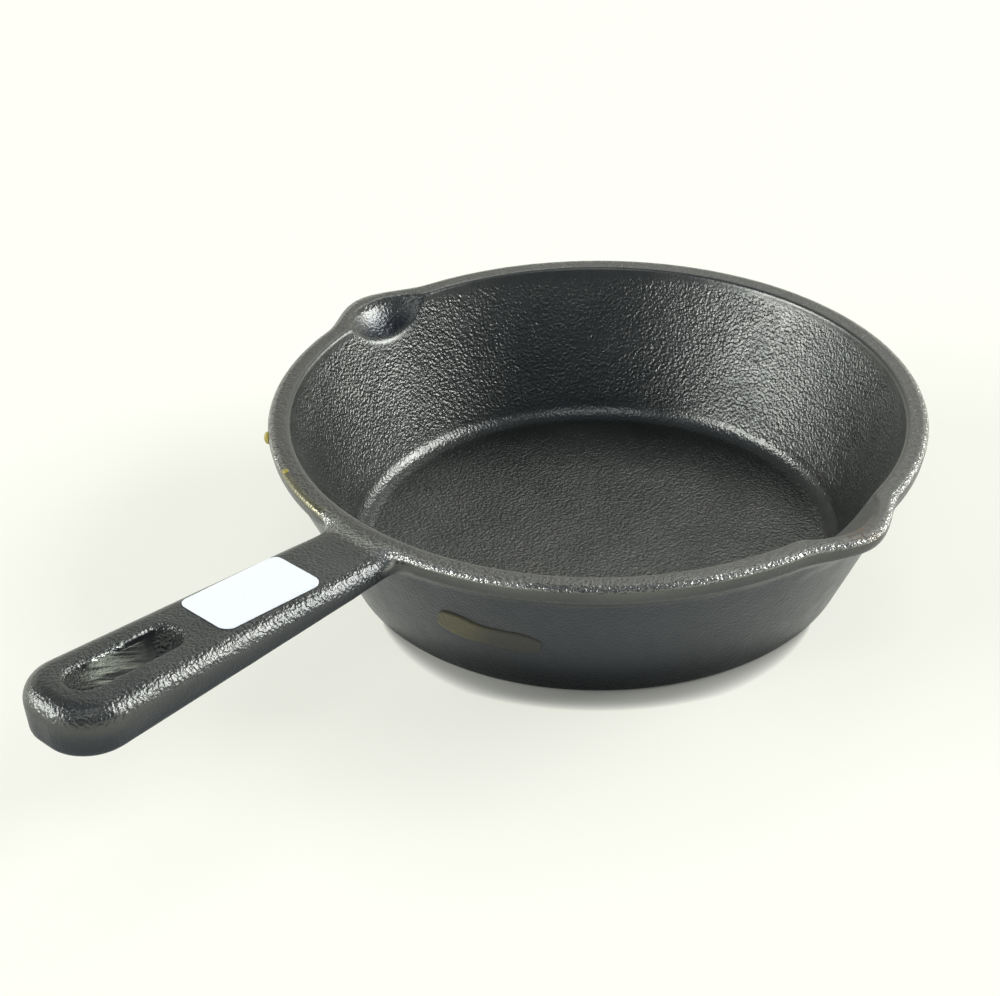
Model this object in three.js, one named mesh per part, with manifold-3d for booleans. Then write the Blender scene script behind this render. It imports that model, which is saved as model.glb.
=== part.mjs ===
// Small cast iron frying pan: one casting of a flared bowl, two pour lips and a flat handle
// with a hang slot, and the blank paper label that is stuck on the handle.
// Millimetres, +Z up. The origin is the middle of the base, and the handle points along +X.

import * as THREE from 'three';
import { mergeVertices } from 'three/addons/utils/BufferGeometryUtils.js';
import Module from 'manifold-3d';

// Bowl: radii from the axis and heights from the base
const RIM_RADIUS = 80;
const PAN_HEIGHT = 41;
const BASE_RADIUS = 61.9;
const BASE_EDGE_ROUND = 1.5;
const FLOOR_THICKNESS = 4;
const FLOOR_FILLET = 5;
const INNER_TOP_RADIUS = 74.4;
const INNER_FOOT_RADIUS = 59.4;
const WALL_TOP_RADIUS = 77.4;
const WALL_TOP_HEIGHT = 34.6;
const RIM_BAND_FOOT = 36.8;
const RIM_BAND_DRAFT = 0.6;
const RIM_OUTER_ROUND = 1.4;
const RIM_INNER_ROUND = 1;

// Pour lips, one on each side, square to the handle
const LIP_ANGLES = [Math.PI / 2, -Math.PI / 2];
const LIP_REACH = 5.3;
const LIP_HALF_ANGLE = THREE.MathUtils.degToRad(13);
const LIP_FULL_HEIGHT = 38.5;
const LIP_FOOT_HEIGHT = 29;
const SCOOP_RADIUS = 19.4;
const SCOOP_FROM_AXIS = 63.7;
const SCOOP_HEIGHT = 51.4;

// Handle: it widens, thickens and rises a little from the rim to the tip
const HANDLE_TIP_X = 168.9;
const HANDLE_ROOT_HALF_WIDTH = 10.9;
const HANDLE_WIDENING = 0.03;
const HANDLE_ROOT_THICKNESS = 6.1;
const HANDLE_THICKENING = 0.07;
const HANDLE_RISE = Math.tan(THREE.MathUtils.degToRad(2));
const HANDLE_STEP = 0.8;
const HANDLE_STEP_FROM = 78.4;
const HANDLE_STEP_TO = 82.6;
const HANDLE_TOP_ROUND = 5.2;
const HANDLE_BOTTOM_ROUND = 0.8;
const HANDLE_SIDE_DRAFT = 0.6;
const HANDLE_TIP_CORNER = 11.4;
const HANDLE_ROOT_FILLET = 4;
const HANDLE_ROOT_DEPTH = 2.5;

// Hang slot through the handle, with rounded edges
const SLOT_NEAR_X = 136;
const SLOT_FAR_X = 156.4;
const SLOT_HALF_WIDTH = 4.4;
const SLOT_TOP_ROUND = 1.3;
const SLOT_BOTTOM_ROUND = 0.6;
const SLOT_OVERSHOOT = 3;

// Paper label on the handle
const LABEL_LENGTH = 28;
const LABEL_WIDTH = 16.2;
const LABEL_CORNER = 2.6;
const LABEL_MIDDLE_X = 111.3;
const LABEL_PAPER = 0.15;
const LABEL_GLUE = 0.1;

// Fineness of the facets
const BOWL_SEGMENTS = 112;
const LIP_CROWDING = 0.28;
const LIP_ROWS = 3;
const SCOOP_SEGMENTS = 64;
const ARC_STEPS = 4;
const FLOOR_FILLET_STEPS = 5;
const HANDLE_FILLET_STEPS = 8;
const HANDLE_CORNER_STEPS = 10;
const HANDLE_ROUND_STEPS = 7;
const HANDLE_COLUMNS = 8;
const SLOT_END_STEPS = 8;
const SLOT_COLUMNS = 2;
const LABEL_COLUMNS = 14;
const LABEL_ROWS = 8;
const MERGE_DISTANCE = 1e-4;

const wasm = await Module();
wasm.setup();

// A closed solid from a geometry: shared points are merged and empty triangles dropped.
function solidOf(geometry) {
  const bare = geometry.clone();
  bare.deleteAttribute('normal');
  bare.deleteAttribute('uv');
  const merged = mergeVertices(bare, MERGE_DISTANCE);
  const corners = merged.index.array;
  const kept = [];
  for (let i = 0; i < corners.length; i += 3) {
    const [a, b, c] = corners.slice(i, i + 3);
    if (a !== b && b !== c && c !== a) {
      kept.push(a, b, c);
    }
  }
  const vertProperties = new Float32Array(merged.attributes.position.array);
  const triVerts = new Uint32Array(kept);
  return new wasm.Manifold(new wasm.Mesh({ numProp: 3, vertProperties, triVerts }));
}

// The geometry of a solid, with a flat normal on each facet.
function geometryOf(solid) {
  const mesh = solid.getMesh();
  const indexed = new THREE.BufferGeometry();
  indexed.setAttribute('position', new THREE.BufferAttribute(mesh.vertProperties, 3));
  indexed.setIndex(new THREE.BufferAttribute(mesh.triVerts, 1));
  const geometry = indexed.toNonIndexed();
  geometry.computeVertexNormals();
  return geometry;
}

// Points of an arc in the plane, both ends included.
function arc(x, y, radius, from, to, steps = ARC_STEPS) {
  const points = [];
  for (let i = 0; i <= steps; i += 1) {
    const angle = THREE.MathUtils.lerp(from, to, i / steps);
    points.push(new THREE.Vector2(x + radius * Math.cos(angle), y + radius * Math.sin(angle)));
  }
  return points;
}

// Outer side of the bowl as (radius, height), from the middle of the base to the rim's flat top.
function outerProfile() {
  const flare = Math.atan2(WALL_TOP_RADIUS - BASE_RADIUS, WALL_TOP_HEIGHT - BASE_EDGE_ROUND);
  const edge = arc(BASE_RADIUS - BASE_EDGE_ROUND, BASE_EDGE_ROUND, BASE_EDGE_ROUND, -Math.PI / 2, -flare);
  const foot = edge[edge.length - 1];
  const wall = [];
  for (let i = 0; i <= LIP_ROWS; i += 1) {
    const height = THREE.MathUtils.lerp(LIP_FOOT_HEIGHT, WALL_TOP_HEIGHT, i / LIP_ROWS);
    const radius = THREE.MathUtils.mapLinear(height, foot.y, WALL_TOP_HEIGHT, foot.x, WALL_TOP_RADIUS);
    wall.push(new THREE.Vector2(radius, height));
  }
  const band = new THREE.Vector2(RIM_RADIUS - RIM_BAND_DRAFT, RIM_BAND_FOOT);
  const [roundX, roundY] = [RIM_RADIUS - RIM_OUTER_ROUND, PAN_HEIGHT - RIM_OUTER_ROUND];
  const round = arc(roundX, roundY, RIM_OUTER_ROUND, 0, Math.PI / 2);
  return [new THREE.Vector2(0, 0), ...edge, ...wall, band, ...round];
}

// Inner side of the bowl, from the rim's flat top down the wall to the middle of the floor.
function innerProfile() {
  const wallTop = PAN_HEIGHT - RIM_INNER_ROUND;
  const flare = Math.atan2(INNER_TOP_RADIUS - INNER_FOOT_RADIUS, wallTop - FLOOR_THICKNESS);
  const round = arc(INNER_TOP_RADIUS + RIM_INNER_ROUND, wallTop, RIM_INNER_ROUND, Math.PI / 2, Math.PI);
  const filletHeight = FLOOR_THICKNESS + FLOOR_FILLET;
  const filletRadius = INNER_FOOT_RADIUS + FLOOR_FILLET * (Math.tan(flare) - 1 / Math.cos(flare));
  const fillet = arc(filletRadius, filletHeight, FLOOR_FILLET, -flare, -Math.PI / 2, FLOOR_FILLET_STEPS);
  return [...round, ...fillet, new THREE.Vector2(0, FLOOR_THICKNESS)];
}

// Radius of the bowl's outer wall at a height, away from the lips.
function outerRadiusAt(height) {
  const profile = outerProfile();
  const above = profile.findIndex((point) => point.y > height);
  if (above < 1) {
    return RIM_RADIUS;
  }
  const [low, high] = [profile[above - 1], profile[above]];
  return THREE.MathUtils.mapLinear(height, low.y, high.y, low.x, high.x);
}

// How far a lip pushes the outer wall outwards, by direction and height.
function lipBulge(direction, height) {
  const fade = THREE.MathUtils.smoothstep(height, LIP_FOOT_HEIGHT, LIP_FULL_HEIGHT);
  let bulge = 0;
  for (const middle of LIP_ANGLES) {
    const off = Math.abs(Math.atan2(Math.sin(direction - middle), Math.cos(direction - middle)));
    if (off < LIP_HALF_ANGLE) {
      bulge = LIP_REACH * fade * Math.cos((Math.PI / 2) * (off / LIP_HALF_ANGLE)) ** 2;
    }
  }
  return bulge;
}

// The bowl is turned from its profile, its outer side is pushed out at the lips,
// and a ball-shaped scoop is cut into each lip from above.
function bowlSolid() {
  const outer = outerProfile();
  const profile = [...outer, ...innerProfile()];
  const turned = new THREE.LatheGeometry(profile, BOWL_SEGMENTS).rotateX(Math.PI / 2);
  const place = turned.attributes.position;
  for (let i = 0; i < place.count; i += 1) {
    const even = Math.floor(i / profile.length) * ((2 * Math.PI) / BOWL_SEGMENTS);
    const direction = even + LIP_CROWDING * Math.sin(2 * even);
    const { x: radius, y: height } = profile[i % profile.length];
    const isOuter = i % profile.length < outer.length && radius > 0;
    const reach = radius + (isOuter ? lipBulge(direction, height) : 0);
    place.setXYZ(i, reach * Math.cos(direction), reach * Math.sin(direction), height);
  }
  let bowl = solidOf(turned);
  for (const angle of LIP_ANGLES) {
    const ball = new THREE.SphereGeometry(SCOOP_RADIUS, SCOOP_SEGMENTS, SCOOP_SEGMENTS / 2);
    ball.rotateX(Math.PI / 2);
    ball.translate(SCOOP_FROM_AXIS * Math.cos(angle), SCOOP_FROM_AXIS * Math.sin(angle), SCOOP_HEIGHT);
    bowl = bowl.subtract(solidOf(ball));
  }
  return bowl;
}

// Half the handle's width at a distance from the axis.
function handleHalfWidth(x) {
  return HANDLE_ROOT_HALF_WIDTH + HANDLE_WIDENING * (x - RIM_RADIUS);
}

// Height of the handle's flat top: it steps softly down from the rim's flat top, then rises outwards.
function handleTop(x, y) {
  const step = HANDLE_STEP * THREE.MathUtils.smoothstep(Math.hypot(x, y), HANDLE_STEP_FROM, HANDLE_STEP_TO);
  return PAN_HEIGHT - step + HANDLE_RISE * (x - RIM_RADIUS);
}

// Height of the handle's flat underside.
function handleBottom(x) {
  const thickness = HANDLE_ROOT_THICKNESS + HANDLE_THICKENING * (x - RIM_RADIUS);
  return PAN_HEIGHT - HANDLE_STEP + HANDLE_RISE * (x - RIM_RADIUS) - thickness;
}

// Height of the handle's upper surface, its rounded long edges included.
function handleSurface(x, y) {
  const past = Math.abs(y) - (handleHalfWidth(x) - HANDLE_TOP_ROUND);
  const drop = past > 0 ? HANDLE_TOP_ROUND - Math.sqrt(HANDLE_TOP_ROUND ** 2 - past ** 2) : 0;
  return handleTop(x, y) - drop;
}

// One side of the handle's plan, from inside the rim out to the tip. The root is filleted to a wall
// of the given radius, and the whole line is moved in by the inset. The fillet starts at the wall or,
// where the inset carries it into the rim, at the root's depth.
function handleSide(wallRadius, inset) {
  const taper = Math.atan(HANDLE_WIDENING);
  const filletY = handleHalfWidth(wallRadius) + HANDLE_ROOT_FILLET;
  const fromAxis = wallRadius + HANDLE_ROOT_FILLET;
  const filletX = Math.sqrt(fromAxis ** 2 - filletY ** 2);
  const radius = HANDLE_ROOT_FILLET + inset;
  const deepest = wallRadius - HANDLE_ROOT_DEPTH;
  const crossing = (fromAxis ** 2 + radius ** 2 - deepest ** 2) / (2 * fromAxis * radius);
  const start = Math.PI + Math.atan2(filletY, filletX) + Math.acos(Math.min(1, crossing));
  const fillet = arc(filletX, filletY, radius, start, 1.5 * Math.PI + taper, HANDLE_FILLET_STEPS);
  const cornerX = HANDLE_TIP_X - HANDLE_TIP_CORNER;
  const cornerY = handleHalfWidth(cornerX) - HANDLE_TIP_CORNER;
  const tipRadius = HANDLE_TIP_CORNER - inset;
  const corner = arc(cornerX, cornerY, tipRadius, Math.PI / 2 + taper, 0, HANDLE_CORNER_STEPS);
  return [...fillet, ...corner];
}

// Points across an outline at one of its ends, from one side to the other, the side points left out.
function across(point, fromSide, columns) {
  const points = [];
  for (let c = 1; c < columns; c += 1) {
    points.push(new THREE.Vector2(point.x, fromSide * point.y * (1 - (2 * c) / columns)));
  }
  return points;
}

// A closed loft through rings. Each ring is one side of an outline that mirrors in Y, with its height
// as a function of x and y. The first and last rings are closed by strips across the outline.
function mirroredLoft(rings, columns) {
  const places = [];
  const faces = [];
  const add = ({ x, y }, height) => places.push(x, y, height(x, y)) / 3 - 1;
  const quad = (a, b, c, d) => faces.push(a, b, c, a, c, d);
  const loops = rings.map(({ side, height }) => {
    const [root, tip] = [side[0], side[side.length - 1]];
    const right = side.map((point) => new THREE.Vector2(point.x, -point.y));
    const left = side.toReversed();
    const loop = [...right, ...across(tip, -1, columns), ...left, ...across(root, 1, columns)];
    return loop.map((point) => add(point, height));
  });
  for (let r = 1; r < loops.length; r += 1) {
    const [low, high] = [loops[r - 1], loops[r]];
    low.forEach((corner, i) => {
      const next = (i + 1) % low.length;
      quad(corner, low[next], high[next], high[i]);
    });
  }
  for (const isTop of [false, true]) {
    const { side, height } = rings[isTop ? rings.length - 1 : 0];
    const rows = side.map((point) => {
      const right = new THREE.Vector2(point.x, -point.y);
      return [right, ...across(point, -1, columns), point].map((place) => add(place, height));
    });
    for (let i = 1; i < rows.length; i += 1) {
      for (let c = 0; c < columns; c += 1) {
        const corners = [rows[i - 1][c], rows[i][c], rows[i][c + 1], rows[i - 1][c + 1]];
        quad(...(isTop ? corners : corners.toReversed()));
      }
    }
  }
  const geometry = new THREE.BufferGeometry();
  geometry.setAttribute('position', new THREE.Float32BufferAttribute(places, 3));
  geometry.setIndex(faces);
  return geometry;
}

// The handle is lofted up from its underside: a small lower edge, a drafted side that hugs the flared
// wall at its root, and a well rounded upper edge.
function handleSolid() {
  const lowest = handleBottom(RIM_RADIUS);
  const rings = [
    {
      side: handleSide(outerRadiusAt(lowest), HANDLE_SIDE_DRAFT + HANDLE_BOTTOM_ROUND),
      height: (x) => handleBottom(x),
    },
    {
      side: handleSide(outerRadiusAt(lowest + HANDLE_BOTTOM_ROUND), HANDLE_SIDE_DRAFT),
      height: (x) => handleBottom(x) + HANDLE_BOTTOM_ROUND,
    },
  ];
  for (let i = 0; i <= HANDLE_ROUND_STEPS; i += 1) {
    const turn = (Math.PI / 2) * (i / HANDLE_ROUND_STEPS);
    const inset = HANDLE_TOP_ROUND * (1 - Math.cos(turn));
    const drop = HANDLE_TOP_ROUND * (1 - Math.sin(turn));
    rings.push({
      side: handleSide(outerRadiusAt(PAN_HEIGHT - HANDLE_STEP - drop), inset),
      height: (x, y) => handleTop(x, y) - drop,
    });
  }
  return solidOf(mirroredLoft(rings, HANDLE_COLUMNS));
}

// One side of the hang slot's plan, grown by a margin.
function slotSide(margin) {
  const radius = SLOT_HALF_WIDTH + margin;
  const near = arc(SLOT_NEAR_X, 0, radius, Math.PI, Math.PI / 2, SLOT_END_STEPS);
  const far = arc(SLOT_FAR_X, 0, radius, Math.PI / 2, 0, SLOT_END_STEPS);
  return [...near, ...far];
}

// The tool that cuts the slot: it flares at both faces of the handle to round the slot's edges.
function slotSolid() {
  const rings = [
    { side: slotSide(SLOT_BOTTOM_ROUND), height: (x) => handleBottom(x) - SLOT_OVERSHOOT },
    { side: slotSide(SLOT_BOTTOM_ROUND), height: (x) => handleBottom(x) },
    { side: slotSide(0), height: (x) => handleBottom(x) + SLOT_BOTTOM_ROUND },
  ];
  for (let i = 0; i <= ARC_STEPS; i += 1) {
    const turn = (Math.PI / 2) * (i / ARC_STEPS);
    const drop = SLOT_TOP_ROUND * (1 - Math.sin(turn));
    rings.push({
      side: slotSide(SLOT_TOP_ROUND * (1 - Math.cos(turn))),
      height: (x, y) => handleTop(x, y) - drop,
    });
  }
  rings.push({ side: slotSide(SLOT_TOP_ROUND), height: (x, y) => handleTop(x, y) + SLOT_OVERSHOOT });
  return solidOf(mirroredLoft(rings, SLOT_COLUMNS));
}

// The whole casting: bowl and handle in one pour, then the slot.
function panCasting() {
  const casting = bowlSolid().add(handleSolid()).subtract(slotSolid());
  const material = new THREE.MeshStandardMaterial({ color: 0x3b3a39, roughness: 0.5, metalness: 0.7 });
  const mesh = new THREE.Mesh(geometryOf(casting), material);
  mesh.name = 'pan_casting';
  return mesh;
}

// One side of the label's plan: a straight edge with rounded corners, stepped so that it can bend.
function labelSide() {
  const [startX, endX] = [LABEL_MIDDLE_X - LABEL_LENGTH / 2, LABEL_MIDDLE_X + LABEL_LENGTH / 2];
  const cornerY = LABEL_WIDTH / 2 - LABEL_CORNER;
  const near = arc(startX + LABEL_CORNER, cornerY, LABEL_CORNER, Math.PI, Math.PI / 2);
  const far = arc(endX - LABEL_CORNER, cornerY, LABEL_CORNER, Math.PI / 2, 0);
  const edge = [];
  for (let i = 1; i < LABEL_ROWS; i += 1) {
    edge.push(near[near.length - 1].clone().lerp(far[0], i / LABEL_ROWS));
  }
  return [...near, ...edge, ...far];
}

// The label is a thin sheet that follows the handle's upper surface, a film of glue above it.
function paperLabel() {
  const side = labelSide();
  const rings = [
    { side, height: (x, y) => handleSurface(x, y) + LABEL_GLUE },
    { side, height: (x, y) => handleSurface(x, y) + LABEL_GLUE + LABEL_PAPER },
  ];
  const material = new THREE.MeshStandardMaterial({ color: 0xf3f6f8, roughness: 0.6, metalness: 0 });
  const mesh = new THREE.Mesh(geometryOf(solidOf(mirroredLoft(rings, LABEL_COLUMNS))), material);
  mesh.name = 'paper_label';
  return mesh;
}

const fryingPan = new THREE.Group();
fryingPan.add(panCasting(), paperLabel());

export default fryingPan;
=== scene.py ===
"""Looks of a small cast iron frying pan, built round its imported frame.

Bowl and handle are one sand casting. A blank paper label is stuck on the handle, and some oil has run
down and dried on the outside. Metres, +Z up, handle along +X, pour lips on +Y and -Y.
Shapes are worked out in millimetres and written to the meshes in metres.
"""
import math

import bmesh
import bpy
import numpy as np
from mathutils import Matrix, Vector


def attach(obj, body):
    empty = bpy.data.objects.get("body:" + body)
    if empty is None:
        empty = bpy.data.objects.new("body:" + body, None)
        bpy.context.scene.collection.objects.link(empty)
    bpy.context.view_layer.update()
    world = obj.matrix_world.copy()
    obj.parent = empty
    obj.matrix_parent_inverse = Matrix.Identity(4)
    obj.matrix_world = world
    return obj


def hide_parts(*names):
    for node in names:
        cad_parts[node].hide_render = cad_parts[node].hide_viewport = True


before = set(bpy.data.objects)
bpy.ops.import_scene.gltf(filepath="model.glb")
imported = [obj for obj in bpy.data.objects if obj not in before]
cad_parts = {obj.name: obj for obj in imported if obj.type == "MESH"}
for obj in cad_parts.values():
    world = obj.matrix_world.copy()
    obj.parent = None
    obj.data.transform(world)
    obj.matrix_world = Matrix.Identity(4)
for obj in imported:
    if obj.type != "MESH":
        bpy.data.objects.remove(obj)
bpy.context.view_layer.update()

MM = 0.001

# Bowl, in millimetres: radii from the axis and heights from the base
RIM_RADIUS = 80.0
PAN_HEIGHT = 41.0
BASE_RADIUS = 61.9
BASE_EDGE_ROUND = 1.5
FLOOR_THICKNESS = 4.0
FLOOR_FILLET = 5.0
INNER_TOP_RADIUS = 74.4
INNER_FOOT_RADIUS = 59.4
WALL_TOP_RADIUS = 77.4
WALL_TOP_HEIGHT = 34.6
RIM_BAND_FOOT = 36.8
RIM_BAND_DRAFT = 0.6
RIM_OUTER_ROUND = 1.4
RIM_INNER_ROUND = 1.0
INNER_SLOPE = (INNER_TOP_RADIUS - INNER_FOOT_RADIUS) / (PAN_HEIGHT - RIM_INNER_ROUND - FLOOR_THICKNESS)
WALL_FLARE = math.atan2(WALL_TOP_RADIUS - BASE_RADIUS, WALL_TOP_HEIGHT - BASE_EDGE_ROUND)

# Pour lips: only the outer share of the wall swells. The swelling starts and is whole at these distances
# from a line that runs LIP_LINE outside the inner wall
LIP_REACH = 5.3
LIP_HALF_ANGLE = math.radians(13)
LIP_FULL_HEIGHT = 38.5
LIP_FOOT_HEIGHT = 29.0
LIP_LINE = 0.5
LIP_STARTS_AT = -1.0
LIP_WHOLE_AT = 3.0
SCOOP_RADIUS = 19.4
SCOOP_FROM_AXIS = 63.7
SCOOP_HEIGHT = 51.4
SCOOP_EDGE_SOFTNESS = 0.8

# Handle and hang slot
HANDLE_TIP_X = 168.9
HANDLE_ROOT_HALF_WIDTH = 10.9
HANDLE_WIDENING = 0.03
HANDLE_ROOT_THICKNESS = 6.1
HANDLE_THICKENING = 0.07
HANDLE_RISE = math.tan(math.radians(2))
HANDLE_STEP = 0.8
HANDLE_STEP_FROM = 78.4
HANDLE_STEP_TO = 82.6
HANDLE_TOP_ROUND = 5.2
HANDLE_BOTTOM_ROUND = 0.8
HANDLE_SIDE_DRAFT = 0.6
HANDLE_TIP_CORNER = 11.4
HANDLE_ROOT_FILLET = 4.0
HANDLE_ROOT_DEPTH = 2.5
SLOT_NEAR_X = 136.0
SLOT_FAR_X = 156.4
SLOT_HALF_WIDTH = 4.4
SLOT_TOP_ROUND = 1.3
SLOT_BOTTOM_ROUND = 0.6
SLOT_OVERSHOOT = 3.0

# Paper label
LABEL_LENGTH = 28.0
LABEL_WIDTH = 16.2
LABEL_CORNER = 2.6
LABEL_MIDDLE_X = 111.3
LABEL_PAPER = 0.15
LABEL_GLUE = 0.1
LABEL_EDGE = LABEL_PAPER / 3

# Dried oil: edges of the run on the front wall as (azimuth in degrees, height), from its thick end, and
# shares along and across it where its thick body, its painted shadow along the upper edge and its
# painted highlight along the lower edge change
RUN_TOP_EDGE = (
    (12, 21.5), (14, 24.5), (17.5, 24.4), (21, 22.7), (25, 22.2), (29, 21.9), (32, 20), (32.5, 18.5))
RUN_LOW_EDGE = (
    (12, 21), (11.5, 18), (13.5, 16), (17.5, 15), (21.5, 15), (25.5, 14.2), (30, 14.6), (32, 16.2))
RUN_THICK = 0.5
RUN_THIN = 0.15
RUN_SUNK = 0.3
RUN_MIDDLE = 0.7
RUN_EDGE_POWER = 6
RUN_END = 0.04
RUN_TINT = 0.5
RUN_EDGE_SHADOW = 0.85
RUN_EDGE_HIGHLIGHT = 0.15
RUN_BODY_ENDS = (0.3, 0.62)
RUN_SHADOW_BAND = (0.84, 0.97)
RUN_HIGHLIGHT_BAND = (0.04, 0.14)
# Drops on the rim: azimuth in degrees, distance from the axis, height, half sizes outwards, along the
# rim and upright
DROPS = {
    "oil_drop_side": (-38.8, 80.0, 39.4, 0.95, 2.4, 1.1),
    "oil_drop_rim": (-24.9, 78.8, 40.75, 0.8, 0.9, 0.55),
}
DROP_SAG = 0.25

# Waviness of the sand mould: length and height of its waves and of its lumps
MOULD_WAVES = {"Wave": (11.0, 0.05), "Lump": (2.6, 0.045)}

# Strength of the sand's grain by place
WALL_GRAIN = 1.15
FLOOR_GRAIN = 0.85
FILLET_GRAIN = 0.6
OUTSIDE_GRAIN = 0.5
RIM_TOP_GRAIN = 0.5
RIM_EDGE_GRAIN = 1.9
RIM_INNER_GRAIN = 0.15
RIDGE_GRAIN = 0.3
FILM_GRAIN = 0.5
HANDLE_TOP_GRAIN = 0.75
HANDLE_EDGE_GRAIN = 0.85
SCOOP_GRAIN = 0.6
SLOT_GRAIN = 0.25
SLOT_END_GRAIN = 2.5

# Soft borders between finishes and painted shades, as (start, end) in millimetres
HANDLE_STARTS_X = (80, 84)
HANDLE_SIDES_Y = (15, 16)
INNER_SKIN = (0.6, 1.2)
INNER_BOTTOM_Z = (3.0, 3.8)
FLOOR_TOP_Z = (5, 8)
FILLET_RADIUS = (54.5, 57)
FILLET_TOP_Z = (7.5, 9.5)
RIM_Z = (38.6, 39.6)
RIM_TOP_Z = (39.8, 40.6)
RIM_EDGE_Z = (36, 38)
OUTSIDE_TOP_Z = (34, 41)
FOOT_SHADE_Z = (2, 26)
SCOOP_SKIN = (0.1, 0.7)
RIDGE_BREADTH = (0.7, 1.5)
RIDGE_TOP_Z = (35, 37)
NEAR_LIP_Y = (0, 10)
SLOT_SKIN = (0, 0.5)
SLOT_MOUTH = (1.5, 2.0)
SLOT_TIP_END_X = (153, 155)
SLOT_BOWL_END_X = (134, 135.5)
FILED_FROM_X = (142.5, 144)
FILED_TO_X = (151.5, 153.5)
FILED_SIDE_Y = (2, 3.5)
RUST_PLACE = (1, 81)
RUST_SPREAD = (1, 7)
RUST_Z = (38, 40)

# Soft borders by facing: the normal's share upwards, or outwards and inwards from the axis
FACES_UP = (0.6, 0.95)
RIM_FACES_UP = (0.1, 0.3)
EDGE_FACES_UP = (0.05, 0.25)
EDGE_FACES_OUT = (0.03, 0.2)
EDGE_FACES_IN = (0.03, 0.15)
HANDLE_FLAT = (0.8, 0.95)
HANDLE_ROUND_STARTS = (0.15, 0.45)
HANDLE_ROUND_ENDS = (0.88, 0.98)

# Soft borders by azimuth in degrees: the oil film on the rim, and the painted shade over the middle of the
# rim's front
FILM_FROM = (-28, -24)
FILM_TO = (-12, -8)
FRONT_SHADE_MIDDLE = 44
FRONT_SHADE_SPREAD = (8, 17)

# How far each finish and each painted shade goes, from 0 to 1
FOOT_SHADE_SHARE = 0.65
RUST_SHARE = 0.5
FILM_SHARE = 0.6
FRONT_SHADE_SHARE = 0.7
HANDLE_DULL = 0.35
WALL_DULL = 0.16
HANDLE_DARK = 0.3
FINISHES = ("grain", "dull", "outside", "foot", "rim", "edge_wear_and_shade", "film", "slot", "filed", "rust")

# Joins that the sand rounds off: the handle's root at the rim and the ridge below each scoop
ROOT_RADIUS = (76.6, 78)
ROOT_FROM_X = (60, 66)
ROOT_TO_X = (87, 92)
ROOT_SIDES_Y = (14, 17)
ROOT_Z = (33, 35)
RIDGE_REACH = (0.6, 1.6)
RIDGE_BELOW_Z = (35.5, 37.5)
RIDGE_ENDS_X = (7.5, 9.5)
RIDGE_SIDES_X = (20, 24)
ROOT_ROUNDS = 60
RIDGE_ROUNDS = 14
WEIGHT_STEPS = 10

# File strokes on the hang slot's far wall rise towards the tip and are drawn out along it
STROKE_SLANT = math.radians(24)
STROKE_STRETCH = 0.08
STROKE_DEPTH = 1.5
SAND_DEPTH = 0.3

# Sizes of the materials' patterns: patches of seasoning and of gloss, specks of rust, the moulding sand's
# print, file strokes, paper fibres, blots in the oil and the sand's print as it shows through the oil
PATCH_SIZE = 14.0
GLOSS_SIZE = 5.0
SPECK_SIZE = 1.4
SAND_SIZE = 0.75
STROKE_SIZE = 0.7
FIBRE_SIZE = 0.6
BLOT_SIZE = 2.2
OILED_SAND_SIZE = 0.8

# Shine of the materials
IRON_METALLIC = 0.9
IRON_ROUGHNESS = (0.28, 0.35)
DULL_ROUGHNESS = 0.25
PAPER_ROUGHNESS = 0.6
OIL_ROUGHNESS = 0.35
OIL_SPECULAR = 0.3
OIL_SAND = 0.4
FLOOR_ROUGHNESS = 0.9

# Fineness of the meshes, and how close points are merged
PROFILE_STEP = 0.6
TURNING_STEPS = 600
CASTING_VOXEL = 0.42
CASTING_ROUNDS = 3
CASTING_TRIANGLES = 185000
HANDLE_COLUMNS = 16
SLOT_COLUMNS = 2
LABEL_COLUMNS = 24
LABEL_STEP = 0.8
RUN_STATIONS = 72
RUN_COLUMNS = 17
CORNER_STEPS = 24
ROUND_STEPS = 14
LABEL_CORNER_STEPS = 10
DOUBLES_APART = 0.001
SEAM_APART = 0.01

# Camera, matched to the photograph's viewing angle
CAMERA_PLACE = (0.4056, 0.3706, 0.3553)
CAMERA_AIM = (0.0337, -0.0003, 0.0300)
CAMERA_ROLL = math.radians(1.21)
CAMERA_SENSOR_MM = 36.0
CAMERA_LENS_MM = 93.6
CAMERA_CLIP = 0.01

# Floor: its glow is darkened close to the base as a painted shadow, on the side away from a given light
# direction. The shade's reach goes from full to least by the place along that direction, in millimetres
IVORY = "fdfef3"
FLOOR_REACH = 6000.0
FLOOR_DROP = 0.06
FLOOR_GLOW = 0.64
PAINTED_SHADE_LIGHT_SIDE = (-0.73, -0.66, 0.17)
SHADE_FULL_AT = -61.0
SHADE_LEAST_AT = -32.0
SHADE_REACH = 7.0
SHADE_LEAST = 0.2
SHADED_OPENNESS = (0.5, 0.95)
SHADED_GLOW = 0.15

# Lamps as azimuth, elevation, width, height, radiance. The surround is a pale wall behind the pan that
# fades to a dark room on the camera's side and overhead, above an ivory horizon
LAMP_DISTANCE = 3.0
LAMPS = {
    "lamp_right": (144, 29, 2.0, 1.35, 8.8),
    "lamp_left": (-36, 22, 2.4, 1.05, 8.2),
    "lamp_above": (42, 60, 1.5, 1.2, 1.4),
    "lamp_back": (-148, 48, 1.0, 1.0, 1.8),
}
LOW_WALL_LEVEL = 1.4
HIGH_WALL_LEVEL = 0.4
WALL_FADE = (0.1, 0.5)
HORIZON_FADE = (0.03, 0.16)
ROOM_LEVEL = 0.17
ROOM_BLUE = "b4cbe6"


def linear(hex_colour):
    """Linear RGBA of an sRGB hex value."""
    channels = [int(hex_colour[i:i + 2], 16) / 255 for i in (0, 2, 4)]
    return (*[c / 12.92 if c <= 0.04045 else ((c + 0.055) / 1.055) ** 2.4 for c in channels], 1.0)


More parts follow.
